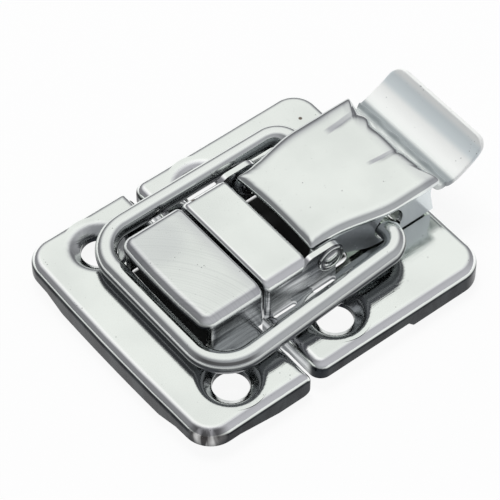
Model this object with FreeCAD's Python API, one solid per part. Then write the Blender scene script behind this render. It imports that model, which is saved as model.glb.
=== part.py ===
import FreeCAD, Part
import math
import os

# Toggle latch for a case: catch plate, base plate, lever, pivot rivets and wire bail.
#
# Millimetres, +Z up, +X from the catch towards the thumb tab, shown closed. The mounting
# surface is z = 0. While it is modelled, x = 0 is the catch plate's outer edge; the finished
# pieces are moved so that the origin is the middle of the closed latch on that surface.

# Both plates
plates_length = 48.0
plate_width = 40.3
catch_length = 17.4
plate_gap = 1.1
rim_height = 3.9
sheet = 0.8
bend_radius = 1.6
plate_corner_radius = 4.0
inner_corner_radius = 1.8
raw_corner_radius = 0.5
end_bow = 0.5

# Lower edge of the rims, where it lifts off the surface
corner_lift = 1.0
corner_lift_y = 14.0
corner_lift_length = 5.5
side_lift = 1.0
side_lift_length = 15.5
lift_run_y = 3.5
lift_run_x = 6.5
lift_step = 0.9
lift_blend_radius = 2.0
raw_foot_radius = 1.4

# Screw holes and the dishes pressed round them
screw_hole_radius = 2.5
screw_spacing = 28.4
base_screw_inset = 7.7
dish_radius = 4.2
dish_depth = 1.25
dish_lead_in = 0.9
dish_blend_radius = 2.2
dish_hole_rounding = 0.3

# Raised boxes: the catch's hook, with a bowed lip, and the base's bridge
box_height = 6.4
box_half_width = 9.3
box_bend_radius = 1.8
box_gap_bend_radius = 0.7
box_gap = 0.4
hook_length = 10.15
hook_overhang = 0.85
hook_bow = 0.4
hook_lip_height = 1.6
hook_throat_depth = 1.4
bridge_length = 7.15
bridge_lip_height = 2.6

# Ears, window and slots of the base plate
pivot_offset = 3.5
pivot_height = 4.2
ear_radius = 2.2
ear_foot_length = 1.0
ear_top_radius = 1.5
ear_foot_radius = 0.3
window_length = 4.7
window_corner_radius = 2.0
slot_length = 3.9
slot_width = 0.8
slot_inset = 0.9
slot_pitch = 6.7
slot_count = 2

# Lever body
arm_clearance = 0.3
arm_sheet = 0.8
arm_floor_gap = 0.3
arm_rise_length = 4.0
arm_step_radius = 0.4
lug_radius = 2.2
lug_blend_radius = 2.0
flare_offset = 3.0
flare_length = 5.5
flare_blend_radius = 3.0
lever_half_width = 9.05
lever_inset = 0.7
web_height = 6.6
web_bend_radius = 1.1
side_end_hollow = 0.4
side_end_foot = 0.3
side_end_radius = 4.0

# Thumb tab
tab_overhang = 0.4
tab_corner_radius = 2.2
tab_curl_radius = 5.8
tab_low_offset = 3.7
tab_root_angle = 45.0
tab_tip_angle = 64.0
tab_drop = 2.3
tab_root_length = 1.5
tab_root_radius = 0.5
tab_shoulder_radius = 1.0

# Lever cover
cover_sheet = 0.55
cover_gap = 0.05
cover_tip_offset = 1.3
cover_front_hollow = 0.4
cover_side_clearance = 0.4
cover_skirt = 1.2
cover_roll_radius = 1.1
cover_blend_radius = 11.0
cover_overhang = 1.1
cover_rear_hollow = 0.6
groove_radius = 0.9
groove_depth = 0.22
groove_length = 7.0
groove_ys = (6.0, -2.1)

# Wire bail and its holes in the lever
wire_diameter = 3.0
wire_floor_gap = 0.1
wire_hook_offset = 1.0
wire_hole_offset = 9.65
wire_hole_play = 0.9
wire_seat_back = 0.75
wire_seat_up = 0.2
wire_pin_height = 3.1
bail_hook_side_gap = 4.75
bail_lever_side_gap = 3.9
bail_hook_corner = 5.2
bail_lever_corner = 3.0
bail_end_inside = 0.9

# Pivot rivets
rivet_radius = 1.0
rivet_clearance = 0.05
rivet_flange_radius = 2.1
rivet_flange_thickness = 0.35
rivet_dome_radius = 1.45
rivet_dome_height = 0.48
rivet_dome_rounding = 0.4
rivet_edge_radius = 0.25
rivet_root_radius = 0.1
rivet_tail_radius = 1.7
rivet_tail_thickness = 0.5

# Sizes that follow from the ones above
plate_top = rim_height
plate_under = plate_top - sheet
half_width = plate_width / 2
base_left_x = catch_length + plate_gap
catch_screw_x = catch_length / 2
base_screw_x = base_left_x + base_screw_inset
box_top = plate_top + box_height
box_inner_half_width = box_half_width - sheet
hook_right_x = catch_length + hook_overhang
hook_left_x = hook_right_x - hook_length
bridge_left_x = hook_right_x + box_gap
bridge_right_x = bridge_left_x + bridge_length
pivot_x = bridge_right_x + pivot_offset
pivot_z = plate_top + pivot_height
window_end_x = pivot_x + window_length
flare_start_x = pivot_x + flare_offset
flare_end_x = flare_start_x + flare_length
lever_end_x = plates_length - lever_inset
arm_half_width = box_inner_half_width - arm_clearance
arm_floor = plate_top + arm_floor_gap
web_top = plate_top + web_height
web_under = web_top - arm_sheet
web_start_x = flare_end_x + flare_blend_radius / 2
cover_top = web_top + cover_gap + cover_sheet
cover_under = cover_top - cover_sheet
skirt_bottom = cover_top - cover_skirt
arm_top = skirt_bottom - 2 * cover_gap
cover_tip_x = bridge_right_x + cover_tip_offset
cover_end_x = lever_end_x + cover_overhang
cover_half_width = lever_half_width + cover_sheet
cover_front_half_width = box_inner_half_width - cover_side_clearance
wire_radius = wire_diameter / 2
bail_hook_x = hook_left_x - wire_hook_offset
bail_hook_z = plate_top + wire_floor_gap + wire_radius
bail_hook_half_width = box_half_width + bail_hook_side_gap
bail_lever_half_width = lever_half_width + bail_lever_side_gap
bail_end_half_width = lever_half_width - arm_sheet - bail_end_inside
bail_pin_x = pivot_x + wire_hole_offset
bail_pin_z = plate_top + wire_pin_height
wire_hole_x = bail_pin_x + wire_seat_back
wire_hole_z = bail_pin_z - wire_seat_up
wire_hole_radius = wire_radius + wire_hole_play
tab_half_width = lever_half_width + tab_overhang
tab_low_x = lever_end_x + tab_low_offset
tab_low_z = web_top - tab_drop
tab_root_x = tab_low_x - tab_curl_radius * math.sin(math.radians(tab_root_angle))
tab_root_drop = tab_drop - tab_curl_radius * (1 - math.cos(math.radians(tab_root_angle)))
dip_start_x = tab_root_x - tab_root_drop
tab_tip_x = tab_low_x + (tab_curl_radius + arm_sheet) * math.sin(math.radians(tab_tip_angle))
overall_length = tab_tip_x + end_bow
middle_x = overall_length / 2 - end_bow

# Reach of a cutting tool past the face it cuts, slack when edges are compared, and how
# nearly two roundings may meet on one short side
over = 1.0
tiny = 1e-6
nearly = 0.98

up = FreeCAD.Vector(0, 0, 1)
along_y = FreeCAD.Vector(0, 1, 0)


def vec(x, y, z):
    return FreeCAD.Vector(x, y, z)


def rounded_edges(points, radii, closed):
    """Straight edges through the points, with a tangent arc of the given radius at each."""
    count = len(points)
    corners = []
    for index, point in enumerate(points):
        radius = radii[index]
        if radius == 0:
            corners.append((point, None, point))
            continue
        to_last = (points[index - 1] - point).normalize()
        to_next = (points[(index + 1) % count] - point).normalize()
        half_angle = to_last.getAngle(to_next) / 2
        reach = radius / math.tan(half_angle)
        bisector = (to_last + to_next).normalize()
        middle = point + bisector * (radius / math.sin(half_angle) - radius)
        corners.append((point + to_last * reach, middle, point + to_next * reach))
    edges = []
    for index, (start, middle, end) in enumerate(corners):
        if middle is not None:
            edges.append(Part.Arc(start, middle, end).toShape())
        last = index == count - 1
        if last and not closed:
            break
        following = corners[(index + 1) % count][0]
        if end.distanceToPoint(following) > tiny:
            edges.append(Part.LineSegment(end, following).toShape())
    return edges


def rounded_face(points, radii):
    return Part.Face(Part.Wire(rounded_edges(points, radii, True)))


def plan_prism(outline, radii, z_low, z_high):
    """Upright prism on a rounded plan outline of (x, y) points."""
    face = rounded_face([vec(x, y, z_low) for x, y in outline], radii)
    return face.extrude(up * (z_high - z_low))


def side_prism(outline, radii, y_low, y_high):
    """Prism along Y on a rounded side profile of (x, z) points."""
    face = rounded_face([vec(x, y_low, z) for x, z in outline], radii)
    return face.extrude(along_y * (y_high - y_low))


def box_between(x_low, x_high, y_low, y_high, z_low, z_high):
    return Part.makeBox(x_high - x_low, y_high - y_low, z_high - z_low, vec(x_low, y_low, z_low))


def rectangle(x_low, x_high, half):
    return [(x_low, -half), (x_high, -half), (x_high, half), (x_low, half)]


def edges_at_height(shape, z):
    """Edges that lie wholly in the level plane at z."""
    level = []
    for edge in shape.Edges:
        if abs(edge.BoundBox.ZMin - z) < tiny and abs(edge.BoundBox.ZMax - z) < tiny:
            level.append(edge)
    return level


def beyond_x(edges, x_limit, side):
    """The edges whose middle lies on the given side (+1 or -1) of x_limit."""
    return [edge for edge in edges if (edge.CenterOfMass.x - x_limit) * side > 0]


def mirrored(shape):
    return shape.mirror(vec(0, 0, 0), along_y)


def joined(first, others):
    return first.fuse(others).removeSplitter()


def upright_edges(shape, x_low, x_high):
    """Upright corner edges of the shape between two places along X."""
    corners = []
    for edge in shape.Edges:
        box = edge.BoundBox
        if box.XLength + box.YLength < tiny and x_low < box.XMin < x_high:
            corners.append(edge)
    return corners


def pan_block(x_low, x_high, half, bow, z_low, z_high, left_corner, right_corner):
    """Upright block in a pan's plan: bowed left end and rounded corners."""
    block = box_blank(x_low - bow, x_high, half, bow, z_low, z_high)
    middle = (x_low + x_high) / 2
    block = block.makeFillet(left_corner, upright_edges(block, x_low - over, middle))
    if right_corner > 0:
        block = block.makeFillet(right_corner, upright_edges(block, middle, x_high + over))
    return block


def pan(x_low, x_high, bow, left_corner, right_corner, open_right):
    """Plate with a turned-down rim; one end may be left as a raw cut edge."""
    outer = pan_block(x_low, x_high, half_width, bow, 0, plate_top, left_corner, right_corner)
    top_edges = edges_at_height(outer, plate_top)
    if open_right:
        top_edges = beyond_x(top_edges, x_high - raw_corner_radius, -1)
    outer = outer.makeFillet(bend_radius, top_edges)
    inner_right = x_high + over if open_right else x_high - sheet
    sizes = (half_width - sheet, bow, -over, plate_under, left_corner - sheet, max(right_corner - sheet, 0))
    inner = pan_block(x_low + sheet, inner_right, *sizes)
    inner_edges = edges_at_height(inner, plate_under)
    if open_right:
        inner_edges = beyond_x(inner_edges, inner_right - over / 2, -1)
    inner = inner.makeFillet(bend_radius - sheet, inner_edges)
    return outer.cut(inner)


def with_lifted_rim(plate, x_low, lower_edge, radii, lift):
    """The plate with its rim trimmed along the lower edge of its side walls, seen from the side.

    The left end wall still reaches the surface between its two corners.
    """
    ceiling = plate_top + over
    outline = lower_edge + [(lower_edge[-1][0], ceiling), (x_low, ceiling)]
    kept = side_prism(outline, radii + [0, 0], -half_width - over, half_width + over)
    foot_half = corner_lift_y - lift_run_y
    end_outline = [(-corner_lift_y, lift), (-foot_half, 0), (foot_half, 0), (corner_lift_y, lift)]
    points = [vec(x_low, y, z) for y, z in end_outline]
    end_wall = rounded_face(points, [0, lift_blend_radius, lift_blend_radius, 0])
    depth = over + end_bow + bend_radius
    return plate.common(kept.fuse(end_wall.extrude(vec(depth, 0, 0))))


def dish(x, y):
    """Revolved dish round a screw hole: a ring that dips from the plate's top to the hole."""
    edge = dish_radius + dish_lead_in
    profile = [
        (edge, plate_top),
        (dish_radius, plate_top),
        (screw_hole_radius, plate_top - dish_depth),
        (screw_hole_radius, plate_under - dish_depth),
        (dish_radius, plate_under),
        (edge, plate_under),
    ]
    points = [vec(radius, 0, z) for radius, z in profile]
    face = rounded_face(points, [0, dish_blend_radius, dish_hole_rounding, 0, dish_blend_radius, 0])
    ring = face.revolve(vec(0, 0, 0), up, 360)
    ring.translate(vec(x, y, 0))
    return ring


def with_dishes(plate, x):
    """The plate with its two dished screw holes, one each side of the middle."""
    for y in (-screw_spacing / 2, screw_spacing / 2):
        blank = Part.makeCylinder(dish_radius + dish_lead_in, rim_height, vec(x, y, plate_under - over))
        plate = plate.cut(blank).fuse(dish(x, y))
    return plate


def box_blank(x_low, x_high, half, bow, z_low, z_high):
    """Upright block whose left end bows outwards by bow in plan."""
    corners = [
        vec(x_low + bow, half, z_low),
        vec(x_high, half, z_low),
        vec(x_high, -half, z_low),
        vec(x_low + bow, -half, z_low),
    ]
    if bow == 0:
        left = Part.LineSegment(corners[3], corners[0]).toShape()
    else:
        left = Part.Arc(corners[3], vec(x_low, 0, z_low), corners[0]).toShape()
    outline = Part.Wire([left] + rounded_edges(corners, [0, 0, 0, 0], False))
    return Part.Face(outline).extrude(up * (z_high - z_low))


def bent_block(x_low, x_high, half, bow, z_low, z_high, side_radius, left_radius, right_radius):
    """Upright block as box_blank makes it, with its upper edges rounded as bent sheet is."""
    block = box_blank(x_low, x_high, half, bow, z_low, z_high)
    sides = [edge for edge in edges_at_height(block, z_high) if edge.BoundBox.YLength < tiny]
    block = block.makeFillet(side_radius, sides)
    for near, far, radius in ((x_low, x_low + bow, left_radius), (x_high, x_high, right_radius)):
        if radius > 0:
            edges = [edge for edge in block.Edges if is_end_edge(edge, near, far, z_high)]
            block = block.makeFillet(radius, edges)
    return block


def is_end_edge(edge, near, far, z_high):
    """True for an upper edge of the block's end face, which lies between near and far along X."""
    box = edge.BoundBox
    return box.XMin > near - tiny and box.XMax < far + tiny and box.ZMax > z_high - tiny


def raised_box(x_low, x_high, bow, left_radius):
    """Box pressed up from the plate, with bent top edges and hollow from below."""
    sizes = (box_half_width, bow, plate_under, box_top)
    outer = bent_block(x_low, x_high, *sizes, box_bend_radius, left_radius, box_gap_bend_radius)
    sizes = (box_inner_half_width, bow, plate_under - over, box_top - sheet)
    inner_left = max(left_radius - sheet, 0)
    inner = bent_block(x_low + sheet, x_high - sheet, *sizes, box_bend_radius - sheet, inner_left, 0)
    return outer.cut(inner)


def catch_plate():
    """Catch plate: pan, two dishes and the hook box with its downturned left lip."""
    block = pan(0, catch_length, end_bow, plate_corner_radius, raw_corner_radius, True)
    x_low = -end_bow - over
    lower_edge = [
        (x_low, corner_lift),
        (corner_lift_length, corner_lift),
        (corner_lift_length + lift_run_x, 0),
        (catch_length, 0),
    ]
    radii = [0, lift_blend_radius, lift_blend_radius, raw_foot_radius]
    block = with_lifted_rim(block, x_low, lower_edge, radii, corner_lift)
    plate = with_dishes(block, catch_screw_x)
    hook = raised_box(hook_left_x, hook_right_x, hook_bow, box_bend_radius)
    wall_left = hook_left_x + hook_throat_depth
    lip_bottom = box_top - hook_lip_height
    throat = box_between(hook_left_x - over, wall_left, -half_width, half_width, 0, lip_bottom)
    half = box_inner_half_width
    hollow = box_between(wall_left, hook_right_x + over, -half, half, -over, plate_top + over)
    return joined(plate.cut(hollow), hook.cut(throat))


def base_plate():
    """Base plate: pan, two dishes, window, bridge, ears with rivet holes, and foot slots."""
    block = pan(base_left_x, plates_length, 0, inner_corner_radius, plate_corner_radius, False)
    x_low = base_left_x - over
    step_x = base_left_x + side_lift_length
    lower_edge = [
        (x_low, side_lift),
        (step_x, side_lift),
        (step_x + lift_step, 0),
        (plates_length + over, 0),
    ]
    block = with_lifted_rim(block, x_low, lower_edge, [0, 0, 0, 0], side_lift)
    plate = with_dishes(block, base_screw_x)
    half = box_inner_half_width
    window_corners = [0, window_corner_radius, window_corner_radius, 0]
    window_outline = rectangle(base_left_x - over, window_end_x, half)
    plate = plate.cut(plan_prism(window_outline, window_corners, -over, plate_top + over))
    bridge = raised_box(bridge_left_x, bridge_right_x, 0, box_gap_bend_radius)
    lip_bottom = box_top - bridge_lip_height
    tunnel = box_between(bridge_left_x - over, bridge_right_x + over, -half, half, 0, lip_bottom)
    base = joined(plate, [bridge.cut(tunnel), ear(), mirrored(ear())])
    for index in range(slot_count):
        slot = foot_slot(base_left_x + slot_inset + index * slot_pitch)
        base = base.cut(slot).cut(mirrored(slot))
    return base.removeSplitter()


def ear():
    """Front ear: the bridge's side wall carried on to a rounded end about the pivot."""
    start = bridge_right_x - box_gap_bend_radius - sheet
    foot = pivot_x + ear_foot_length
    end = pivot_x + ear_radius
    outline = [
        (start, plate_under),
        (foot, plate_under),
        (foot, pivot_z - ear_radius),
        (end, pivot_z - ear_radius),
        (end, pivot_z + ear_radius),
        (bridge_right_x, pivot_z + ear_radius),
        (start, box_top - box_bend_radius),
    ]
    end_rounding = nearly * ear_radius
    radii = [0, 0, ear_foot_radius, end_rounding, end_rounding, ear_top_radius, 0]
    wall = side_prism(outline, radii, -box_half_width, -box_inner_half_width)
    hole = Part.makeCylinder(rivet_radius, plate_width, vec(pivot_x, -half_width, pivot_z), along_y)
    return wall.cut(hole)


def foot_slot(start):
    """Round-ended slot through the plate along the foot of the front wall."""
    y_high = -box_half_width
    outline = [
        (start, y_high - slot_width),
        (start + slot_length, y_high - slot_width),
        (start + slot_length, y_high),
        (start, y_high),
    ]
    end_rounding = nearly * slot_width / 2
    return plan_prism(outline, [end_rounding] * 4, -over, plate_top + over)


def lever_outline(front_x, front_half, end_x, wide_half):
    """Plan outline of a lever piece: narrow between the ears, then flared to full width."""
    side = [(front_x, front_half), (flare_start_x, front_half), (flare_end_x, wide_half), (end_x, wide_half)]
    return [(x, -half) for x, half in side] + [(x, half) for x, half in reversed(side)]


def lever_side_profile():
    """Side view of the lever's sheet metal: lug, low arms, web and the side walls' hollow end."""
    lug_left = pivot_x - lug_radius
    lug_bottom = pivot_z - lug_radius
    points = [
        (lug_left, lug_bottom),
        (lug_left, arm_top),
        (web_start_x, arm_top),
        (web_start_x, web_top + over),
        (dip_start_x - over, web_top + over),
        (lever_end_x, web_top - (lever_end_x - dip_start_x)),
        (lever_end_x - side_end_hollow, pivot_z),
        (lever_end_x + side_end_foot, arm_floor),
        (flare_start_x + arm_rise_length, arm_floor),
        (pivot_x + lug_radius, lug_bottom),
    ]
    radii = [
        nearly * lug_radius,
        arm_top - pivot_z,
        arm_step_radius,
        0,
        0,
        0,
        side_end_radius,
        0,
        side_end_radius,
        lug_blend_radius,
    ]
    return side_prism(points, radii, -half_width, half_width)


def lever_body():
    """Lever body: two arms, web with side walls, wire holes and the curled thumb tab."""
    left = pivot_x - lug_radius
    bend = flare_blend_radius
    radii = [0, bend, bend, 0, 0, bend, bend, 0]
    outline = lever_outline(left, arm_half_width, lever_end_x + over, lever_half_width)
    outer = plan_prism(outline, radii, arm_floor, web_top)
    long_edges = beyond_x(edges_at_height(outer, web_top), flare_end_x, 1)
    long_edges = [edge for edge in long_edges if edge.BoundBox.YLength < tiny]
    outer = outer.makeFillet(web_bend_radius, long_edges)
    inner_half = lever_half_width - arm_sheet
    inner_arm = arm_half_width - arm_sheet
    inner_outline = lever_outline(left - over, inner_arm, lever_end_x + 2 * over, inner_half)
    inner = plan_prism(inner_outline, radii, arm_floor - over, web_top + over)
    web = box_between(web_start_x, dip_start_x, -inner_half, inner_half, web_under, web_top)
    sheet_metal = outer.cut(inner.cut(web)).common(lever_side_profile())
    body = joined(sheet_metal, thumb_tab())
    holes = (
        (pivot_x, pivot_z, rivet_radius + rivet_clearance),
        (wire_hole_x, wire_hole_z, wire_hole_radius),
    )
    for x, z, radius in holes:
        body = body.cut(Part.makeCylinder(radius, plate_width, vec(x, -half_width, z), along_y))
    return body.removeSplitter()


def on_circle(x, z, radius, angle):
    """Point on a circle in the XZ plane; the angle is measured from straight down."""
    turn = math.radians(angle)
    return vec(x + radius * math.sin(turn), 0, z - radius * math.cos(turn))


def thumb_tab():
    """Thumb tab: the web dips behind the cover and curls up with round corners at its tip."""
    centre_z = tab_low_z + tab_curl_radius
    angles = (-tab_root_angle, (tab_tip_angle - tab_root_angle) / 2, tab_tip_angle)
    top = [on_circle(tab_low_x, centre_z, tab_curl_radius, angle) for angle in angles]
    bottom = [on_circle(tab_low_x, centre_z, tab_curl_radius + arm_sheet, angle) for angle in angles]
    under_x = bottom[0].x - (web_under - bottom[0].z)
    flat_x = dip_start_x - 2 * arm_sheet
    run = [bottom[0], vec(under_x, 0, web_under), vec(flat_x, 0, web_under), vec(flat_x, 0, web_top)]
    run += [vec(dip_start_x, 0, web_top), top[0]]
    edges = [
        Part.Arc(*top).toShape(),
        Part.LineSegment(top[2], bottom[2]).toShape(),
        Part.Arc(*bottom).toShape(),
    ]
    edges += rounded_edges(run, [0] * len(run), False)
    strip = Part.Face(Part.Wire(Part.sortEdges(edges)[0]))
    strip.translate(vec(0, -tab_half_width, 0))
    strip = strip.extrude(along_y * 2 * tab_half_width)
    root_half = lever_half_width - web_bend_radius
    shoulder_x = lever_end_x + tab_root_length
    side = [
        (flat_x, root_half),
        (lever_end_x, root_half),
        (shoulder_x, tab_half_width),
        (tab_tip_x, tab_half_width),
    ]
    side_radii = [0, tab_root_radius, tab_shoulder_radius, tab_corner_radius]
    outline = [(x, -half) for x, half in side] + [(x, half) for x, half in reversed(side)]
    radii = side_radii + side_radii[::-1]
    return strip.common(plan_prism(outline, radii, tab_low_z - 2 * over, web_top + 4 * over))


def cover_solid(inset, z_low, z_high, roll):
    """Solid on the cover's plan outline, drawn in by inset, with its upper edges rolled."""
    tip_x = cover_tip_x + inset
    rear_x = cover_end_x - inset
    narrow = cover_front_half_width - inset
    wide = cover_half_width - inset
    sides = []
    for sign in (-1, 1):
        points = [
            vec(tip_x, sign * narrow, z_low),
            vec(flare_start_x, sign * narrow, z_low),
            vec(flare_end_x, sign * wide, z_low),
            vec(rear_x, sign * wide, z_low),
        ]
        sides += rounded_edges(points, [0, cover_blend_radius, cover_blend_radius, 0], False)
    for x, half, hollow in ((tip_x, narrow, cover_front_hollow), (rear_x, wide, -cover_rear_hollow)):
        end = Part.Arc(vec(x, -half, z_low), vec(x + hollow, 0, z_low), vec(x, half, z_low))
        sides.append(end.toShape())
    outline = Part.Wire(Part.sortEdges(sides)[0])
    solid = Part.Face(outline).extrude(up * (z_high - z_low))
    return solid.makeFillet(roll, edges_at_height(solid, z_high))


def lever_cover():
    """Lever cover: a thin cap with rolled edges and two short grooves towards its rear."""
    outer = cover_solid(0, skirt_bottom, cover_top, cover_roll_radius)
    inner = cover_solid(cover_sheet, skirt_bottom - over, cover_under, cover_roll_radius - cover_sheet)
    cover = outer.cut(inner)
    groove_z = cover_top + groove_radius - groove_depth
    groove_x = cover_end_x - groove_length
    for y in groove_ys:
        start = vec(groove_x, y, groove_z)
        cover = cover.cut(Part.makeCylinder(groove_radius, groove_length + over, start, vec(1, 0, 0)))
    return cover.removeSplitter()


def front_rivet():
    """Headed rivet along Y: tail inside the arm, shank, then a flange and dome outside the ear."""
    head = box_half_width
    face = head + rivet_flange_thickness
    dome = face + rivet_dome_height
    tail = arm_half_width - arm_sheet - rivet_clearance
    end = tail - rivet_tail_thickness
    corners = [
        (0, end, 0),
        (rivet_tail_radius, end, rivet_edge_radius),
        (rivet_tail_radius, tail, 0),
        (rivet_radius, tail, 0),
        (rivet_radius, head, 0),
        (rivet_flange_radius, head, 0),
        (rivet_flange_radius, face, rivet_edge_radius),
        (rivet_dome_radius, face, rivet_root_radius),
        (rivet_dome_radius, dome, rivet_dome_rounding),
        (0, dome, 0),
    ]
    points = [vec(pivot_x + radius, -y, pivot_z) for radius, y, rounding in corners]
    section = rounded_face(points, [rounding for radius, y, rounding in corners])
    return section.revolve(vec(pivot_x, 0, pivot_z), along_y, 360)


def wire_bail():
    """Round wire loop: hook end, two legs that taper to the lever, ends bent inward."""
    corners = [
        (bail_pin_x, -bail_end_half_width, 0),
        (bail_pin_x, -bail_lever_half_width, bail_lever_corner),
        (bail_hook_x, -bail_hook_half_width, bail_hook_corner),
        (bail_hook_x, bail_hook_half_width, bail_hook_corner),
        (bail_pin_x, bail_lever_half_width, bail_lever_corner),
        (bail_pin_x, bail_end_half_width, 0),
    ]
    points = [vec(x, y, bail_pin_z) for x, y, radius in corners]
    path = Part.Wire(rounded_edges(points, [radius for x, y, radius in corners], False))
    ring = Part.Wire(Part.Circle(points[0], along_y, wire_radius).toShape())
    loop = path.makePipeShell([ring], True, False)
    slope = math.degrees(math.asin((bail_pin_z - bail_hook_z) / (bail_pin_x - bail_hook_x)))
    loop.rotate(points[0], along_y, -slope)
    return loop


def export(name, shape):
    """Move a finished piece to the part's own origin and write it."""
    placed = shape.copy()
    placed.translate(vec(-middle_x, 0, 0))
    if not placed.isValid() or len(placed.Solids) != 1:
        raise ValueError(name + " is not one valid solid")
    placed.Solids[0].exportStep("parts/" + name + ".step")


os.makedirs("parts", exist_ok=True)
pieces = {
    "catch_plate": catch_plate(),
    "base_plate": base_plate(),
    "lever_body": lever_body(),
    "lever_cover": lever_cover(),
    "pivot_rivet_front": front_rivet(),
    "pivot_rivet_back": mirrored(front_rivet()),
    "wire_bail": wire_bail(),
}
for name, shape in pieces.items():
    export(name, shape)
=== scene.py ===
import math

import bmesh
import bpy
import numpy as np
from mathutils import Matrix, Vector


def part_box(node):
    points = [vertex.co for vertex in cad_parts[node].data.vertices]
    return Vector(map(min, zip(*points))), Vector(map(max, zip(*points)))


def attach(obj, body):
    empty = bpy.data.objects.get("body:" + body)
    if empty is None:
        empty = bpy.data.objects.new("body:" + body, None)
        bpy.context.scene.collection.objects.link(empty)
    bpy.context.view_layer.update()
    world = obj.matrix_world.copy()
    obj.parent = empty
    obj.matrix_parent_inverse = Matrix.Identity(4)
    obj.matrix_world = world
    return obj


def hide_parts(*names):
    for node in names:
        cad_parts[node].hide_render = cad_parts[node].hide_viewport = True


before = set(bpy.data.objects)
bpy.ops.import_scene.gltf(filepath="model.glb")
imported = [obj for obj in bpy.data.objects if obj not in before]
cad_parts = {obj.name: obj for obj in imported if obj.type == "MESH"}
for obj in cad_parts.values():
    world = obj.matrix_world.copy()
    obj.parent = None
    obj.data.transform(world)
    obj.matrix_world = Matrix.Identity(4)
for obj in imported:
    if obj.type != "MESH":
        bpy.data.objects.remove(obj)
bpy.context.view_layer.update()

# A closed toggle latch in bright plated steel. Lengths below are in millimetres along the
# latch: x = 0 is the catch plate's outer edge, y = 0 its middle line and z = 0 the surface
# that it is screwed to. The function placed() turns them into the frame's metres.
MM = 0.001
END_BOW = 0.5 * MM
LEFT_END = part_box("catch_plate")[0].x + END_BOW


def placed(points):
    """Millimetres along the latch to metres in the frame, for an array (..., 3)."""
    return np.asarray(points, float) * MM + np.array([LEFT_END, 0.0, 0.0])


# Shader maths

class Socket:
    """One shader socket; arithmetic on it adds Math nodes to the same tree."""

    def __init__(self, tree, link):
        self.tree = tree
        self.link = link

    def math(self, operation, *others):
        return add_node(self.tree, "ShaderNodeMath", {"operation": operation}, (self,) + others)

    def __add__(self, other):
        return self.math("ADD", other)

    def __radd__(self, other):
        return self.math("ADD", other)

    def __sub__(self, other):
        return self.math("SUBTRACT", other)

    def __rsub__(self, other):
        return add_node(self.tree, "ShaderNodeMath", {"operation": "SUBTRACT"}, (other, self))

    def __mul__(self, other):
        return self.math("MULTIPLY", other)

    def __rmul__(self, other):
        return self.math("MULTIPLY", other)

    def __truediv__(self, other):
        return self.math("DIVIDE", other)

    def power(self, other):
        return self.math("POWER", other)

    def within(self, low, high):
        """0 below low, 1 above high and a smooth rise between."""
        return add_node(self.tree, "ShaderNodeMapRange", {"interpolation_type": "SMOOTHSTEP"},
                        {"Value": self, "From Min": low, "From Max": high})


def add_node(tree, kind, settings, inputs, output=0):
    """Adds a node: its settings first, then each input as a value or a Socket."""
    node = tree.nodes.new(kind)
    for key, value in settings.items():
        setattr(node, key, value)
    pairs = inputs.items() if isinstance(inputs, dict) else enumerate(inputs)
    for key, value in pairs:
        if isinstance(value, Socket):
            tree.links.new(value.link, node.inputs[key])
        else:
            node.inputs[key].default_value = value
    return Socket(tree, node.outputs[output])


def mixed(tree, factor, first, second):
    """Colour that goes from first to second as factor goes from 0 to 1.

    A Mix node of colours has its factor, its two colours and its result at sockets 0, 6, 7 and 2.
    """
    first, second = [value if isinstance(value, Socket) else (*value, 1.0) for value in (first, second)]
    return add_node(tree, "ShaderNodeMix", {"data_type": "RGBA"}, {0: factor, 6: first, 7: second}, 2)


class Finish:
    """A new material with its tree, its place coordinates and its surface shader."""

    def __init__(self, name):
        self.material = bpy.data.materials.new(name)
        self.material.use_nodes = True
        self.tree = self.material.node_tree
        self.shader = self.tree.nodes["Principled BSDF"]
        self.shader.inputs["Metallic"].default_value = 1.0
        self.place = self.coordinates(3)
        self.normal = self.coordinates(1)

    def coordinates(self, output):
        return add_node(self.tree, "ShaderNodeTexCoord", {}, {}, output)

    def scaled(self, x, y, z, turn=0.0):
        """The place coordinates stretched by x, y and z after a turn about Z."""
        settings = {"Vector": self.place, "Scale": (x, y, z), "Rotation": (0.0, 0.0, turn)}
        return add_node(self.tree, "ShaderNodeMapping", {}, settings)

    def axis(self, vector, index):
        return add_node(self.tree, "ShaderNodeSeparateXYZ", {}, (vector,), index)

    def noise(self, vector, scale, detail=2.0, roughness=0.5, distortion=0.0):
        inputs = {"Vector": vector, "Scale": scale, "Detail": detail, "Roughness": roughness,
                  "Distortion": distortion}
        return add_node(self.tree, "ShaderNodeTexNoise", {}, inputs)

    def pits(self, scale, size, share):
        """1 in small round pits: size is their radius in cells, share how many there are."""
        cells = add_node(self.tree, "ShaderNodeTexVoronoi", {}, {"Vector": self.place, "Scale": scale})
        chance = self.noise(self.place, scale * 0.31, 0.0)
        return (1.0 - cells.within(size * 0.5, size)) * chance.within(1.0 - share, 1.04 - share)

    def along(self, index):
        """Place along one axis in millimetres along the latch."""
        place = self.axis(self.place, index)
        return (place - LEFT_END) / MM if index == 0 else place / MM

    def distance(self, x, y, z):
        """Distance in millimetres from a point given in millimetres along the latch."""
        ends = (self.place, tuple(placed([x, y, z])))
        return add_node(self.tree, "ShaderNodeVectorMath", {"operation": "DISTANCE"}, ends, 1) / MM

    def spot(self, x, y, z, radius):
        """1 inside a soft round spot."""
        return 1.0 - self.distance(x, y, z).within(radius * 0.55, radius)

    def set(self, socket, value):
        if isinstance(value, Socket):
            self.tree.links.new(value.link, self.shader.inputs[socket])
        else:
            self.shader.inputs[socket].default_value = value

    def bump(self, height, strength, distance):
        inputs = {"Height": height, "Strength": strength, "Distance": distance}
        self.set("Normal", add_node(self.tree, "ShaderNodeBump", {}, inputs))


# Finishes. Places are in millimetres along the latch, and a pair is the start and the end of a
# soft border.

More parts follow.
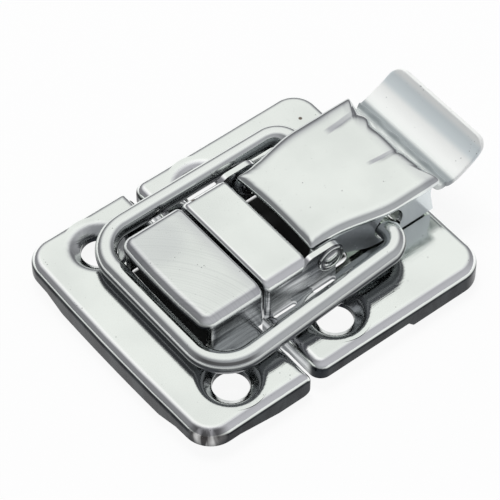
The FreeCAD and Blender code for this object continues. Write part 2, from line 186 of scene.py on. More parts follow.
BOXES_START = (9.3, 9.9)
BOXES_END = (36.0, 36.5)
BOXES_SIDE = (9.8, 10.3)
SEAM_START = (17.0, 17.6)
SEAM_END = (20.1, 20.5)
SEAM_SIDE = (17.2, 18.8)
HOOK_TOP = (8.9, 9.2)
HOOK_END = (18.5, 18.7)
DISH_SPOT = 5.2
CATCH_DISHES = ((8.7, -14.2, 3.2), (8.7, 14.2, 3.2))
BASE_DISHES = ((26.2, -14.2, 3.2),)
RUST_SPOTS = ((20.3, 8.5, 10.1, 0.4), (44.1, 14.9, 3.9, 0.34))
PAINTED_STREAK_CORNER = (1.6, -18.5, 3.0)
ARCS_MIDDLE = (-4.0, -12.4, 9.3)
ARM_END = (37.5, 39.5)
SLATE_PAINTED_REFLECTION = ((0.80, 0.865, 0.885), (0.89, 0.955, 0.975))
FLUTE_PAINTED_REFLECTIONS = ((40.9, 5.85, 6.4, 0.62), (41.7, -1.9, -2.1, 0.42))
FLUTE_RUN = 5.0
TAB_ROOT = 49.75
TAB_SATIN_AND_PAINTED_PALE = (50.2, 52.2)
TAB_PAINTED_BAND_START = (53.7, 54.7)
TAB_PAINTED_BAND_END = (55.5, 56.1)
WIRE_BEND = (9.0, -13.0, 6.0)
PIVOT_X = 29.3
PIVOT_Z = 8.1


class SheetFinish(Finish):
    """Mirror plating on sheet: cloudy, finely brushed and pitted. It knows the sheet's upright
    walls and its rolled bends."""

    def __init__(self, name, brushed, roughness):
        super().__init__(name)
        self.roughness = roughness
        self.brushed = brushed
        self.clouds = self.noise(self.place, 90.0, 3.0)
        self.brush = self.noise(self.scaled(260.0, 5200.0, 900.0, 0.62), 1.0, 3.0, 0.6, 0.3)
        self.pit = self.pits(1500.0, 0.16, 0.32).math("MAXIMUM", self.pits(2600.0, 0.14, 0.36))
        # How level the sheet lies; a bend that faces the outer end counts as steeper than it is
        outer_end = self.axis(self.normal, 0).math("MINIMUM", 0.0)
        level = (self.axis(self.normal, 2) - outer_end * -0.16).math("ABSOLUTE")
        # self.wall marks the upright walls and self.roll the rolled bends: the finishes lay painted shade,
        # painted reflections and painted highlights on them.
        self.wall = 1.0 - level.within(0.24, 0.40)
        self.roll = level.within(0.42, 0.60) * (1.0 - level.within(0.88, 0.98))
        self.streak = self.noise(self.scaled(420.0, 420.0, 170.0), 1.0, 4.0, 0.55, 0.6)
        self.colour = mixed(self.tree, self.clouds.within(0.26, 0.70), (0.74, 0.775, 0.748),
                            (0.825, 0.862, 0.83))

    def shade(self, factor, colour):
        """Lays another colour over the plating."""
        self.colour = mixed(self.tree, factor, self.colour, colour)

    def paint_streaky_light_and_shade(self, factor, first, second, streak):
        """Lays painted light and shade, in two streaky colours, over the plating."""
        self.shade(factor, mixed(self.tree, streak.within(0.36, 0.64), first, second))

    def finish(self, dulled):
        """Ends the surface; dulled is where the plating is rougher."""
        self.shade(self.pit * 0.75, (0.20, 0.21, 0.21))
        self.set("Base Color", self.colour)
        rough = self.roughness + self.clouds * 0.05 + self.brush * (0.07 * self.brushed)
        self.set("Roughness", rough + dulled * 0.16 + self.pit * 0.3)
        height = self.brush * self.brushed + self.clouds * 0.5 - self.pit * 1.6 + self.streak * dulled * 0.6
        self.bump(height, 0.07, 0.0004)
        return self.material


def plate_finish(name, dishes, blemishes):
    """Plating of the two plates: a painted highlight on the rolled bends, painted near-black
    reflection on the outer rims and throat, painted streaky reflections on the box walls and seam,
    painted dark and light streaks in the dishes and at one corner, painted shade on the hook's top,
    turned arcs on the hook's top, and rust spots."""
    finish = SheetFinish(name, 0.35, 0.06)
    x, side, z = finish.along(0), finish.along(1).math("ABSOLUTE"), finish.along(2)
    boxes = x.within(*BOXES_START) * (1.0 - x.within(*BOXES_END)) * (1.0 - side.within(*BOXES_SIDE))
    seam = x.within(*SEAM_START) * (1.0 - x.within(*SEAM_END)) * (1.0 - side.within(*SEAM_SIDE))
    boxes = boxes.math("MAXIMUM", seam)
    spots = [finish.spot(*dish, DISH_SPOT) for dish in dishes]
    # Painted highlight: the rolled bends are made nearly white, except in the dishes.
    painted_bend_highlight = finish.roll
    for spot in spots:
        painted_bend_highlight = painted_bend_highlight * (1.0 - spot)
    finish.shade(painted_bend_highlight * 0.95, (0.985, 1.0, 0.99))
    # Painted reflection: dark and light streaks laid over the dishes.
    for spot in spots:
        finish.paint_streaky_light_and_shade(spot * 0.5, (0.26, 0.275, 0.285), (0.86, 0.88, 0.87), finish.streak)
    # Painted reflection: the outer rim walls and the throat are made nearly black.
    finish.paint_streaky_light_and_shade(finish.wall * (1.0 - boxes), (0.005, 0.006, 0.009), (0.024, 0.028, 0.032), finish.streak)
    # Painted reflection: dark and light streaks on the box walls and the seam.
    painted_wall_streaks = finish.noise(finish.scaled(60.0, 60.0, 900.0), 1.0, 3.0, 0.6, 0.4)
    finish.paint_streaky_light_and_shade(finish.wall * boxes, (0.12, 0.13, 0.14), (0.66, 0.68, 0.69), painted_wall_streaks)
    # Painted reflection: dark and light streaks at one corner of the catch plate.
    painted_crease_shading = finish.noise(finish.scaled(520.0, 520.0, 60.0), 1.0, 2.0, 0.5, 0.8)
    corner = (1.0 - finish.distance(*PAINTED_STREAK_CORNER).within(1.2, 3.0)) * (1.0 - z.within(3.55, 3.85))
    finish.paint_streaky_light_and_shade(corner * 0.85, (0.05, 0.045, 0.045), (0.88, 0.88, 0.87), painted_crease_shading)
    top = z.within(*HOOK_TOP) * (1.0 - x.within(*HOOK_END))
    radius = finish.distance(*ARCS_MIDDLE) + finish.noise(finish.place, 1.0) * 0.3
    arcs = add_node(finish.tree, "ShaderNodeTexNoise", {"noise_dimensions": "1D"},
                    {"W": radius, "Scale": 3.4, "Detail": 3.0})
    finish.shade(top * arcs.within(0.46, 0.64) * 0.18, (0.50, 0.525, 0.525))
    # Painted shade: the hook's top is made darker overall, and darker again near its end and at its back
    # corner.
    finish.shade(top * 0.26, (0.55, 0.575, 0.56))
    finish.shade(top * x.within(15.6, 18.3) * 0.5, (0.48, 0.485, 0.52))
    finish.shade(top * finish.spot(11.6, 6.0, 9.3, 5.5) * 0.35, (0.52, 0.54, 0.555))
    for blemish in blemishes:
        finish.shade(finish.spot(*blemish), (0.16, 0.13, 0.11))
    return finish.finish(finish.wall)


def lever_finish(name):
    """Plating of the lever's body: bright above, with a painted slate blue reflection and less metal on its
    upright walls, and painted shade on the arms' walls.
    """
    finish = SheetFinish(name, 0.3, 0.06)
    arms = 1.0 - finish.along(0).within(*ARM_END)
    # Painted reflection: slate blue on the upright walls, painted shade on the arms' walls, and less metal
    # on the walls to lighten them.
    finish.paint_streaky_light_and_shade(finish.wall * 0.8, *SLATE_PAINTED_REFLECTION, finish.streak)
    finish.shade(finish.wall * arms * 0.55, (0.20, 0.22, 0.24))
    finish.set("Metallic", 1.0 - finish.wall * 0.4)
    return finish.finish(finish.wall * (0.4 + arms * 0.6))


def cover_finish(name):
    """Plating of the cover: painted grey reflections in the two flutes and along the back side and rear
    edges, and a painted slate reflection on its walls.
    """
    finish = SheetFinish(name, 0.25, 0.07)
    x, y = finish.along(0), finish.along(1)
    # Painted reflection: grey along the back side and the rear edge, and in strips down the two flutes.
    grey = y.within(6.9, 8.6) * 0.5
    grey = grey.math("MAXIMUM", x.within(44.6, 46.4) * 0.45)
    for start, y_start, y_end, width in FLUTE_PAINTED_REFLECTIONS:
        middle = (x - start) * ((y_end - y_start) / FLUTE_RUN) + y_start
        strip = 1.0 - (y - middle).math("ABSOLUTE").within(width * 0.5, width)
        length = x.within(start - 0.2, start + 1.0) * (1.0 - x.within(start + 2.0, 49.0) * 0.5)
        grey = grey.math("MAXIMUM", strip * length)
    finish.shade(grey * 0.8, (0.42, 0.425, 0.46))
    # Painted reflection: slate on the cover's upright walls.
    finish.paint_streaky_light_and_shade(finish.wall * 0.3, *SLATE_PAINTED_REFLECTION, finish.streak)
    return finish.finish(finish.wall * 0.3)


def tab_finish(name):
    """Plating of the thumb tab, with almost no metal: painted shade in the creases at its root, a
    painted pale highlight with a satin roughness on the curl, and a painted grey reflection band
    along its upturned end."""
    finish = SheetFinish(name, 0.3, 0.15)
    x = finish.along(0)
    satin = x.within(*TAB_SATIN_AND_PAINTED_PALE)
    band = x.within(*TAB_PAINTED_BAND_START) * (1.0 - x.within(*TAB_PAINTED_BAND_END))
    painted_crease_shading = 1.0 - (x - TAB_ROOT).math("ABSOLUTE").within(0.5, 1.35)
    # Painted light: almost no metal, a painted pale highlight on the curl, a painted grey reflection band
    # near the tip and painted shade in the creases at the root.
    finish.set("Metallic", 0.1)
    finish.shade(satin * 0.9, (0.97, 0.985, 0.955))
    finish.shade(band, (0.735, 0.80, 0.81))
    finish.shade(painted_crease_shading * 0.9, (0.29, 0.325, 0.335))
    return finish.finish(satin * 1.7)


def wire_finish(name):
    """Drawn wire with bright plating: faint rings, a few pits, painted shade on its underside and
    a painted dark reflection line round its bend at the hook's front corner."""
    finish = Finish(name)
    clouds = finish.noise(finish.place, 120.0, 3.0)
    drawn = finish.noise(finish.scaled(90.0, 1600.0, 1600.0), 1.0, 2.0)
    pit = finish.pits(1400.0, 0.15, 0.32)
    colour = mixed(finish.tree, clouds, (0.755, 0.79, 0.765), (0.815, 0.845, 0.822))
    # Painted shade on the underside, and a painted dark reflection line round the bend.
    tilt = finish.axis(finish.normal, 2)
    under = 1.0 - tilt.within(0.12, 0.66)
    colour = mixed(finish.tree, under, colour, (0.15, 0.155, 0.165))
    line = tilt.within(0.50, 0.60) * (1.0 - tilt.within(0.74, 0.84))
    bend = 1.0 - finish.distance(*WIRE_BEND).within(2.6, 5.4)
    colour = mixed(finish.tree, line * bend * 0.8, colour, (0.06, 0.055, 0.055))
    finish.set("Base Color", mixed(finish.tree, pit * 0.7, colour, (0.25, 0.26, 0.26)))
    finish.set("Roughness", 0.08 + clouds * 0.04 + drawn * 0.04 + pit * 0.3)
    finish.bump(drawn * 0.5 + clouds * 0.4 - pit * 1.5, 0.05, 0.0004)
    return finish.material


def rivet_finish(name):
    """Plated rivets: a bright dome, painted shade in the groove round it and at the outer rim, and painted
    grey outside the dome's middle.
    """
    finish = SheetFinish(name, 0.3, 0.09)
    x, z = finish.along(0) - PIVOT_X, finish.along(2) - PIVOT_Z
    radius = (x * x + z * z).power(0.5)
    # Painted shade in the groove and at the outer rim, and painted grey outside the dome's middle.
    groove = radius.within(1.15, 1.4) * (1.0 - radius.within(1.72, 1.86))
    finish.shade(groove * 0.9, (0.10, 0.105, 0.11))
    finish.shade(radius.within(1.94, 2.06) * 0.9, (0.05, 0.052, 0.055))
    finish.shade(radius.within(0.5, 1.1) * 0.35, (0.40, 0.41, 0.43))
    return finish.finish(groove)


catch_plating = plate_finish("catch_plating", CATCH_DISHES, ())
base_plating = plate_finish("base_plating", BASE_DISHES, RUST_SPOTS)
lever_plating = lever_finish("lever_plating")
cover_plating = cover_finish("cover_plating")
tab_plating = tab_finish("tab_plating")
rivet_plating = rivet_finish("rivet_plating")
wire_plating = wire_finish("wire_plating")


# Surfaces

def eased(value, low, high):
    """0 below low, 1 above high and a smooth rise between, for numbers or arrays."""
    share = np.clip((value - low) / (high - low), 0.0, 1.0)
    return share * share * (3.0 - 2.0 * share)


def hump(value, middle, width):
    """1 at middle, and down to about 0 at twice the width on either side of it."""
    return np.exp(-(((value - middle) / width) ** 2))


def grid_faces(rows, columns, closed):
    """Four-sided faces of a grid whose points are numbered row by row."""
    across = columns if closed else columns - 1
    row, column = np.meshgrid(np.arange(rows - 1), np.arange(across), indexing="ij")
    beside = (column + 1) % columns
    corners = [row * columns + column, row * columns + beside]
    corners += [(row + 1) * columns + beside, (row + 1) * columns + column]
    return np.stack(corners, axis=-1).reshape(-1, 4)


def vertex_normals(points, faces):
    """Mean direction, at each point, of the faces that meet there."""
    corners = points[faces]
    normals = np.cross(corners[:, 2] - corners[:, 0], corners[:, 3] - corners[:, 1])
    total = np.zeros_like(points)
    for corner in range(4):
        np.add.at(total, faces[:, corner], normals)
    return total / np.maximum(np.linalg.norm(total, axis=1, keepdims=True), 1e-12)


def strip_faces(first, second):
    """Faces between two closed loops of point numbers."""
    return np.stack([np.roll(first, -1), first, second, np.roll(second, -1)], axis=1)


def surface_object(name, points, faces):
    """A closed, smooth mesh of points in millimetres; doubled points are merged."""
    mesh = bpy.data.meshes.new(name)
    mesh.from_pydata(placed(points).tolist(), [], faces.tolist())
    work = bmesh.new()
    work.from_mesh(mesh)
    bmesh.ops.remove_doubles(work, verts=work.verts, dist=1e-7)
    bmesh.ops.dissolve_degenerate(work, edges=work.edges, dist=1e-7)
    bmesh.ops.recalc_face_normals(work, faces=work.faces)
    for face in work.faces:
        face.smooth = True
    work.to_mesh(mesh)
    work.free()
    obj = bpy.data.objects.new(name, mesh)
    bpy.context.scene.collection.objects.link(obj)
    return obj


EDGE_TURNS = (25.0, 50.0, 70.0, 90.0)


def sheet_object(name, points, faces, loop, thickness, rounding):
    """Sheet metal: an upper skin, a lower skin one thickness below it, along its normals, and a
    raw edge whose two corners are quarter rounds with points at EDGE_TURNS degrees.

    loop numbers the points of the skin's border, anticlockwise as seen from above the skin.
    """
    normals = vertex_normals(points, faces)
    border = points[loop]
    along = np.roll(border, -1, axis=0) - np.roll(border, 1, axis=0)
    outward = np.cross(along, normals[loop])
    outward /= np.linalg.norm(outward, axis=1, keepdims=True)
    turns = np.radians(EDGE_TURNS)
    reach = np.concatenate([np.sin(turns), np.sin(turns)[::-1]]) * rounding
    depth = (1.0 - np.cos(turns)) * rounding
    depth = np.concatenate([depth, thickness - depth[::-1]])
    count = len(points)
    every = [points, points - normals * thickness]
    skins = [faces, faces[:, ::-1] + count]
    last = loop
    for step, (out, down) in enumerate(zip(reach, depth)):
        every.append(border + outward * out - normals[loop] * down)
        ring = 2 * count + step * len(loop) + np.arange(len(loop))
        skins.append(strip_faces(last, ring))
        last = ring
    skins.append(strip_faces(last, loop + count))
    return surface_object(name, np.concatenate(every), np.concatenate(skins))


# The cover and the thumb tab

COVER_TOP = 11.1
COVER_SKIRT = 1.25
COVER_SHEET = 0.55
COVER_EDGE = 0.2
COVER_FRONT_X = 27.1
COVER_REAR_X = 47.3
COVER_REAR_HALF = 9.4
COVER_FRONT_HALF = 8.0
FRONT_HOLLOW = 0.4
SPINE_FROM_FRONT = 6.5
SPINE_FROM_REAR = 5.5
ROLL_REACH = 1.8
ROLL_DROP = 1.15
BACK_ROLL_GAIN = 0.8
FLUTES = ((40.9, 5.9, 6.4, 0.24), (41.7, -1.9, -2.1, 0.22))
TAB_START_X = 45.6
WEB_Z = 10.45
DIP_END_X = 46.9
DIP_END_Z = 9.9
TAB_LOW_X = 51.0
TAB_LOW_Z = 8.2
TAB_CURL = 5.8
TAB_ROOT_REACH = 4.1
TAB_TIP_ANGLE = 64.0
TAB_SHEET = 0.8
TAB_EDGE = 0.22
TAB_BACK_X = (46.0, 47.6, 48.6, 49.6, 50.7, 52.1, 53.3, 54.3, 55.4)
TAB_BACK_HALF = (7.9, 7.9, 8.5, 8.9, 9.2, 9.5, 9.6, 9.58, 9.5)
TAB_BACK_CORNER = 2.1
TAB_FRONT_X = (46.0, 47.2, 48.0, 48.8, 49.8, 50.9, 51.9, 53.2, 54.5)
TAB_FRONT_HALF = (7.9, 8.2, 9.1, 9.45, 9.5, 9.4, 9.25, 9.08, 9.05)
TAB_FRONT_CORNER = 1.5
CREST_X = 49.45
CREST_BACK = 0.85


def cover_side(x, side):
    """Half width of the cover at x, at the front side (-1) or the back side (1): narrow beside the
    ears, with one smooth rise to the full width."""
    if side < 0:
        return 8.02 + 1.72 * eased(x, 30.5, 41.0) - 0.2 * eased(x, 45.5, 49.5)
    return 7.95 + 1.55 * eased(x, 28.0, 38.5)


def cover_outline(count):
    """Closed plan curve of the cover, from its front edge round by the side at -Y.

    Each side is narrow beside the ears and swings out in one soft S to the full width; the
    front edge is slightly hollow and the rear edge wavers between its two corners. A short
    running mean rounds the corners.
    """
    share = np.linspace(0.0, 1.0, 400, endpoint=False)
    x = COVER_FRONT_X + share * (COVER_REAR_X + 1.0 - COVER_FRONT_X)
    front_side = cover_side(x, -1)
    back_side = cover_side(x, 1)
    right = np.stack([x, -front_side], axis=1)
    left = np.stack([x, back_side], axis=1)[::-1]
    y = -front_side[-1] + share * (front_side[-1] + back_side[-1])
    rear_x = COVER_REAR_X + 0.75 * (np.abs(y) / COVER_REAR_HALF) ** 2.2
    rear_x = rear_x - 0.22 * hump(y, 3.4, 1.1) + 0.3 * hump(y, 4.9, 0.7) - 0.2 * hump(y, 6.8, 0.8)
    rear = np.stack([rear_x, y], axis=1)
    y = back_side[0] - share * (back_side[0] + front_side[0])
    front_x = COVER_FRONT_X + FRONT_HOLLOW * (1.0 - (y / COVER_FRONT_HALF) ** 2)
    front = np.stack([front_x, y], axis=1)
    curve = np.concatenate([right, rear, left, front])
    step = np.linalg.norm(np.roll(curve, -1, axis=0) - curve, axis=1)
    place = np.concatenate([[0.0], np.cumsum(step)])
    closed = np.concatenate([curve, curve[:1]])
    even = np.linspace(0.0, place[-1], 4 * count, endpoint=False)
    curve = np.stack([np.interp(even, place, closed[:, axis]) for axis in range(2)], axis=1)
    reach = int(4 * count * 0.65 / place[-1])
    soft = sum(np.roll(curve, shift, axis=0) for shift in range(-reach, reach + 1)) / (2 * reach + 1)
    return soft[::4]


def cover_fall(x, y):
    """Depth of the two flutes that run into the cover's rear edge, steep on their front side and
    shallow on their back side."""
    fall = np.zeros_like(x)
    for start, y_start, y_end, deepest in FLUTES:
        middle = y_start + (y_end - y_start) * (x - start) / FLUTE_RUN
        growth = eased(x, start, start + 3.0)
        width = np.where(y < middle, 0.7, 1.8)
        fall = fall + deepest * growth * hump(y, middle, width)
    return fall


def lever_cover():
    """Thin cap: rings that shrink from the skirt's lower edge, over an elliptic roll, and on
    across the top to a line along its middle."""
    outline = cover_outline(480)
    spine_x = np.clip(outline[:, 0], COVER_FRONT_X + SPINE_FROM_FRONT, COVER_REAR_X - SPINE_FROM_REAR)
    inward = np.stack([spine_x, np.zeros(len(outline))], axis=1) - outline
    tangent = np.roll(outline, -1, axis=0) - np.roll(outline, 1, axis=0)
    tangent /= np.linalg.norm(tangent, axis=1, keepdims=True)
    depth = inward[:, 1] * tangent[:, 0] - inward[:, 0] * tangent[:, 1]
    roll_share = (ROLL_REACH + BACK_ROLL_GAIN * eased(outline[:, 1], 5.0, 8.0)) / depth
    roll_share = sum(np.roll(roll_share, shift) for shift in range(-12, 13)) / 25.0
    turns = np.linspace(0.0, math.pi / 2, 15)
    rings = [(np.zeros(len(outline)), COVER_SKIRT)]
    rings += [(roll_share * (1.0 - math.cos(turn)), ROLL_DROP * (1.0 - math.sin(turn))) for turn in turns]
    rings += [(roll_share + (1.0 - roll_share) * share, 0.0) for share in np.linspace(0.0, 1.0, 61)[1:]]
    points = []
    for share, drop in rings:
        plan = outline + inward * share[:, None]
        points.append(np.column_stack([plan, COVER_TOP - drop - cover_fall(plan[:, 0], plan[:, 1])]))
    faces = grid_faces(len(rings), len(outline), True)
    skin = np.concatenate(points)
    return sheet_object("lever_cover_cap", skin, faces, np.arange(len(outline)), COVER_SHEET, COVER_EDGE)


def tab_profile(count):
    """Side view of the tab: level from the web, down a slope of 45 degrees, then the curl's arc,
    through its lowest point and up to the tip. Also gives each point's distance to the tip."""
    x = np.linspace(TAB_START_X, TAB_LOW_X, 200, endpoint=False)
    reach = np.minimum(np.abs(x - TAB_LOW_X), TAB_ROOT_REACH)
    arc = TAB_LOW_Z + TAB_CURL - np.sqrt(TAB_CURL ** 2 - reach ** 2)
    dip = np.where(x < DIP_END_X, DIP_END_Z + (DIP_END_X - x), arc)
    z = np.minimum(dip, WEB_Z)
    turn = np.radians(np.linspace(0.0, TAB_TIP_ANGLE, 120))
    x = np.concatenate([x, TAB_LOW_X + TAB_CURL * np.sin(turn)])
    z = np.concatenate([z, TAB_LOW_Z + TAB_CURL * (1.0 - np.cos(turn))])
    place = np.concatenate([[0.0], np.cumsum(np.hypot(np.diff(x), np.diff(z)))])
    even = place[-1] * np.linspace(0.0, 1.0, count)
    return np.interp(even, place, x), np.interp(even, place, z), place[-1] - even


def thumb_tab():
    """Thumb tab as sheet metal: its side view swept across, between two uneven side edges with
    round tip corners. A wavy crest and a wavy furrow run across its root."""
    x, z, to_tip = tab_profile(110)
    back = np.interp(x, TAB_BACK_X, TAB_BACK_HALF)
    front = np.interp(x, TAB_FRONT_X, TAB_FRONT_HALF)
    sides = []
    for half, corner in ((front, TAB_FRONT_CORNER), (back, TAB_BACK_CORNER)):
        near = np.clip(corner - to_tip, 0.0, corner)
        half = np.convolve(np.pad(half, 4, mode="edge"), np.ones(9) / 9.0, mode="valid")
        sides.append(half - TAB_EDGE - corner + np.sqrt(corner ** 2 - near ** 2))
    across = np.linspace(0.0, 1.0, 61)
    y = -sides[0][:, None] + across[None, :] * (sides[0] + sides[1])[:, None]
    wave = 0.14 * np.sin(y * 0.9 + 0.6) + 0.1 * np.sin(y * 1.9)
    crest_x = CREST_X + wave + 0.5 * hump(y, 5.2, 1.3)
    rise = 0.34 * hump(x[:, None], crest_x, 0.33)
    fall = 0.30 * hump(x[:, None], crest_x - CREST_BACK, 0.40)
    height = z[:, None] + (rise - fall)
    points = np.stack([np.broadcast_to(x[:, None], y.shape), y, height], axis=-1).reshape(-1, 3)
    rows, columns = y.shape
    faces = grid_faces(rows, columns, False)[:, ::-1]
    index = np.arange(rows * columns).reshape(rows, columns)
    loop = np.concatenate([index[:-1, 0], index[-1, :-1], index[:0:-1, -1], index[0, :0:-1]])
    return sheet_object("thumb_tab", points, faces, loop, TAB_SHEET, TAB_EDGE)


RIVET_PROFILE = ((0.0, 10.13), (0.45, 10.11), (0.85, 10.03), (1.15, 9.90), (1.35, 9.76), (1.45, 9.68),
                 (1.52, 9.65), (1.75, 9.65), (1.92, 9.63), (2.04, 9.55), (2.1, 9.42), (2.1, 9.3),
                 (1.0, 9.3), (1.0, 7.4), (1.7, 7.4), (1.7, 6.95), (0.0, 6.9))


def pivot_rivet(name, side):
    """Headed rivet: a round profile of (radius, distance from the middle) turned about Y."""
    profile = []
    for first, second in zip(RIVET_PROFILE[:-1], RIVET_PROFILE[1:]):
        for share in (0.0, 0.5):
            profile.append([a + (b - a) * share for a, b in zip(first, second)])
    profile = np.array(profile + [RIVET_PROFILE[-1]])
    turn = np.linspace(0.0, 2 * math.pi, 64, endpoint=False)
    radius, reach = profile[:, :1], profile[:, 1:]
    x = PIVOT_X + radius * np.cos(turn)
    z = PIVOT_Z + radius * np.sin(turn)
    points = np.stack([x, np.broadcast_to(side * reach, x.shape), z], axis=-1).reshape(-1, 3)
    return surface_object(name, points, grid_faces(len(profile), 64, True))


# Pieces

CRISP_TURN = 40
TAB_CUT_X = 46.0
WEB_HALF = 8.1
SHOULDER_X = 47.75


def finished(obj, body, material, nodes):
    """Gives a new piece its finish and its body, and hides the CAD nodes it stands for."""
    obj.data.materials.clear()
    obj.data.materials.append(material)
    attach(obj, body)
    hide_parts(*nodes)
    return obj


def polished_copy(node, material, body, dropped=None):
    """A welded copy of a CAD node, so that a mirror finish runs smoothly round its bends.

    The edges that turn by more than CRISP_TURN degrees stay crisp, and the wide flat faces set
    the direction of the shading where they meet a bend. The faces that dropped() picks are left
    out and their opening is closed.
    """
    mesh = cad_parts[node].data.copy()
    mesh.name = node + "_polished"
    work = bmesh.new()
    work.from_mesh(mesh)
    bmesh.ops.remove_doubles(work, verts=work.verts, dist=1e-7)
    bmesh.ops.dissolve_degenerate(work, edges=work.edges, dist=1e-7)
    if dropped is not None:
        plane = placed([TAB_CUT_X, 0.0, 0.0])
        everything = work.verts[:] + work.edges[:] + work.faces[:]
        bmesh.ops.bisect_plane(work, geom=everything, plane_co=plane, plane_no=(1.0, 0.0, 0.0))
        bmesh.ops.delete(work, geom=[face for face in work.faces if dropped(face)], context="FACES")
        bmesh.ops.holes_fill(work, edges=[edge for edge in work.edges if edge.is_boundary])
    for face in work.faces:
        face.smooth = True
    for edge in work.edges:
        edge.smooth = edge.calc_face_angle(math.pi) < math.radians(CRISP_TURN)
    work.to_mesh(mesh)
    work.free()
    if "custom_normal" in mesh.attributes:
        mesh.attributes.remove(mesh.attributes["custom_normal"])
    obj = bpy.data.objects.new(node + "_polished", mesh)
    bpy.context.scene.collection.objects.link(obj)
    weigh = obj.modifiers.new("weighted_normal", "WEIGHTED_NORMAL")
    weigh.keep_sharp = True
    weigh.weight = 100
    return finished(obj, body, material, [node])


def is_tab(face):
    """True for the lever body's tab, which is its own surface here."""
    x, y, z = (face.calc_center_median() - Vector((LEFT_END, 0.0, 0.0))) / MM
    return x > TAB_CUT_X and (abs(y) < WEB_HALF or x > SHOULDER_X)


polished_copy("catch_plate", catch_plating, "base")
polished_copy("base_plate", base_plating, "base")
polished_copy("lever_body", lever_plating, "lever", is_tab)
finished(thumb_tab(), "lever", tab_plating, ["lever_body"])
finished(lever_cover(), "lever", cover_plating, ["lever_cover"])
for node, side in (("pivot_rivet_front", -1.0), ("pivot_rivet_back", 1.0)):
    finished(pivot_rivet(node + "_turned", side), "base", rivet_plating, [node])
polished_copy("wire_bail", wire_plating, "bail")


# Floor, light and camera

FLOOR_RADIUS = 3.0
FLOOR_DROP = 0.00002
FLOOR_GLOW = 0.9
PAINTED_SHADE_MIDDLE = (22.0, 2.3, 0.0)
PAINTED_SHADE_REACH = (13.5, 8.0)
PAINTED_SHADE_BORDER = 0.3
LIGHT_TOWARD = (0.220, 0.415, 0.883)
LIGHT_DISTANCE = 1.2
ROOM_LEVEL = 0.22
FRONT_LEVEL = 0.25
BOX_LEVEL = 0.76
VIEW_AZIMUTH = -38.741
VIEW_ELEVATION = 51.33
VIEW_MIDDLE = (24.0, 0.0, 2.0)
VIEW_DISTANCE = 0.378678
FOCAL_PIXELS = 2827.169
PICTURE_PIXELS = 500
SENSOR_WIDTH = 36.0


def floor():
    """A wide pale disc under the latch, mostly bright of itself, which still takes its shadow.

    Its middle, which only shows through the raised boxes, is painted dark and kept from glowing: painted
    shade of the latch.
    """
    count = 96
    turn = np.linspace(0, 2 * math.pi, count + 1)[:-1]
    rim = [FLOOR_RADIUS * np.cos(turn), FLOOR_RADIUS * np.sin(turn), np.full(count, -FLOOR_DROP)]
    mesh = bpy.data.meshes.new("floor")
    mesh.from_pydata(np.stack(rim, axis=1).tolist(), [], [list(range(count))])
    obj = bpy.data.objects.new("floor", mesh)
    bpy.context.scene.collection.objects.link(obj)
    material = bpy.data.materials.new("floor_paint")
    material.use_nodes = True
    tree = material.node_tree
    shader = tree.nodes["Principled BSDF"]
    shader.inputs["Roughness"].default_value = 0.9
    shader.inputs["Specular IOR Level"].default_value = 0.0
    camera_ray, glossy_ray, through_ray = [
        add_node(tree, "ShaderNodeLightPath", {}, {}, key)
        for key in ("Is Camera Ray", "Is Glossy Ray", "Is Transmission Ray")
    ]
    place = add_node(tree, "ShaderNodeTexCoord", {}, {}, 3)
    ends = (place, tuple(placed(PAINTED_SHADE_MIDDLE)))
    place = add_node(tree, "ShaderNodeVectorMath", {"operation": "SUBTRACT"}, ends)
    past_end, past_side = [
        add_node(tree, "ShaderNodeSeparateXYZ", {}, (place,), index).math("ABSOLUTE") - reach * MM
        for index, reach in enumerate(PAINTED_SHADE_REACH)
    ]
    open_floor = past_side.math("MAXIMUM", past_end).within(-PAINTED_SHADE_BORDER * MM, PAINTED_SHADE_BORDER * MM)
    # Painted shade: the floor's middle under the latch is dark and doesn't glow.
    floor_colour_with_painted_shade = mixed(tree, open_floor, (0.03, 0.03, 0.03), (0.90, 0.90, 0.90))
    tree.links.new(floor_colour_with_painted_shade.link, shader.inputs["Base Color"])
    seen = (camera_ray + glossy_ray + through_ray).math("MINIMUM", 1.0) * open_floor * FLOOR_GLOW
    glow = add_node(tree, "ShaderNodeEmission", {}, {})
    blend = add_node(tree, "ShaderNodeMixShader", {}, (seen, Socket(tree, shader.outputs[0]), glow))
    tree.links.new(blend.link, tree.nodes["Material Output"].inputs["Surface"])
    mesh.materials.append(material)


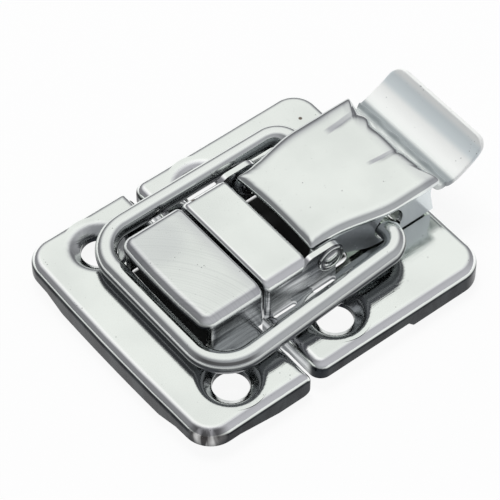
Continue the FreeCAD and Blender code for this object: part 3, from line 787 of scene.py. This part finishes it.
def studio():
    """Room light: a pale grey room, lighter in front, with one large soft box above and behind
    the latch. A lamp in the box's place lights the floor and isn't mirrored."""
    world = bpy.data.worlds.new("studio")
    bpy.context.scene.world = world
    world.use_nodes = True
    tree = world.node_tree
    back = tree.nodes["Background"]
    direction = add_node(tree, "ShaderNodeTexCoord", {}, {}, 0)
    toward = Vector(LIGHT_TOWARD).normalized()
    ends = (direction, tuple(toward))
    aim = add_node(tree, "ShaderNodeVectorMath", {"operation": "DOT_PRODUCT"}, ends, 1)
    across = add_node(tree, "ShaderNodeSeparateXYZ", {}, (direction,), 1)
    box = aim.within(0.58, 0.95)
    front = 1.0 - across.within(-0.9, 0.5)
    level = ROOM_LEVEL + front * FRONT_LEVEL + box * BOX_LEVEL
    tree.links.new(level.link, back.inputs["Strength"])
    tint = mixed(tree, box, (0.985, 0.98, 1.045), (1.0, 1.0, 0.99))
    tree.links.new(tint.link, back.inputs["Color"])
    lamp = bpy.data.lights.new("floor_light", "AREA")
    lamp.shape = "DISK"
    lamp.size = 0.5
    lamp.energy = 6.0
    obj = bpy.data.objects.new("floor_light", lamp)
    bpy.context.scene.collection.objects.link(obj)
    obj.location = toward * LIGHT_DISTANCE
    obj.rotation_euler = toward.to_track_quat("Z", "Y").to_euler()
    obj.visible_glossy = False


def camera():
    """The photograph's viewing angle, measured on the plates' edges."""
    azimuth = math.radians(VIEW_AZIMUTH)
    elevation = math.radians(VIEW_ELEVATION)
    back = Vector((math.sin(azimuth) * math.cos(elevation), -math.cos(azimuth) * math.cos(elevation),
                   math.sin(elevation)))
    data = bpy.data.cameras.new("camera")
    data.sensor_width = SENSOR_WIDTH
    data.lens = FOCAL_PIXELS / PICTURE_PIXELS * SENSOR_WIDTH
    data.shift_x = -0.0091
    data.shift_y = 0.0261
    data.clip_start = 0.01
    data.clip_end = 20.0
    obj = bpy.data.objects.new("camera", data)
    bpy.context.scene.collection.objects.link(obj)
    obj.location = Vector(placed(VIEW_MIDDLE)) + back * VIEW_DISTANCE
    obj.rotation_euler = back.to_track_quat("Z", "Y").to_euler()
    bpy.context.scene.camera = obj


floor()
studio()
camera()
bpy.context.scene.view_settings.view_transform = "Standard"
